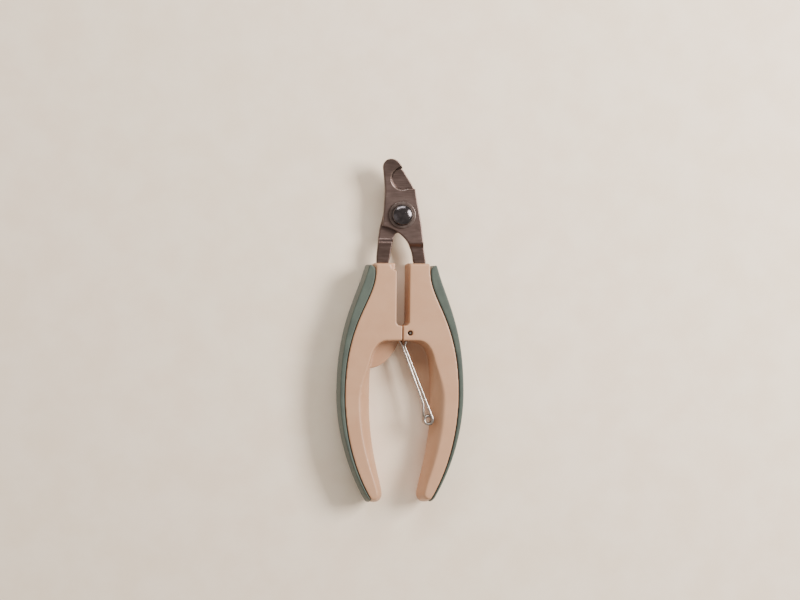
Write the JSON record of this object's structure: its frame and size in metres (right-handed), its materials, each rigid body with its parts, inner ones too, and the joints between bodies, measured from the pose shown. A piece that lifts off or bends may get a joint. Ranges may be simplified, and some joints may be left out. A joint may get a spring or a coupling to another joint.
{
  "type": "pet nail clipper",
  "caption": "Plier-type pet nail clipper with curved shearing blades, moulded handles with rubber grips and a hairpin return spring.",
  "frame": {"origin": "centre of the plan outline at the level of the flat backs of the handles, with the clipper closed", "axes": "+Y from the handle ends to the blade tip, +Z out of the front face with the pivot's domed head, +X to the right as seen from the front"},
  "size_m": [0.0448, 0.12, 0.012],
  "materials": {
    "handle_plastic": "satin pink-beige moulded plastic",
    "grip_rubber": "matt grey-green soft rubber",
    "blade_steel": "dark satin coated steel",
    "rivet_steel": "polished dark steel",
    "spring_steel": "bright drawn spring wire"
  },
  "bodies": {
    "left_half": {"left_handle": "handle_plastic", "left_grip": "grip_rubber", "rear_blade": "blade_steel", "pivot_rivet": "rivet_steel", "front_washer": "rivet_steel", "back_washer": "rivet_steel"},
    "right_half": {"right_handle": "handle_plastic", "right_grip": "grip_rubber", "front_blade": "blade_steel"},
    "spring_left": {"spring_left_leg": "spring_steel"},
    "spring_right": {"spring_right_leg": "spring_steel"}
  },
  "joints": [
    {"name": "blade_pivot", "type": "hinge", "parent": "left_half", "child": "right_half", "pos_m": [0, 0.0405, 0.006], "axis": [0, 0, 1], "range_deg": [0, 20], "stiffness_Nm_per_rad": 0.55, "springref_deg": 34.38},
    {"name": "spring_left_swing", "type": "hinge", "parent": "left_half", "child": "spring_left", "pos_m": [-0.00265, -0.0007, 0.006], "axis": [0, 0, 1], "range_deg": [-2, 12]},
    {"name": "spring_right_swing", "type": "hinge", "parent": "right_half", "child": "spring_right", "pos_m": [0.00265, -0.0007, 0.006], "axis": [0, 0, 1], "range_deg": [-38, 2]}
  ],
  "couplings": [
    {"joint": "spring_left_swing", "follows": "blade_pivot", "ratio": 0.5182},
    {"joint": "spring_right_swing", "follows": "blade_pivot", "ratio": -1.8057}
  ]
}
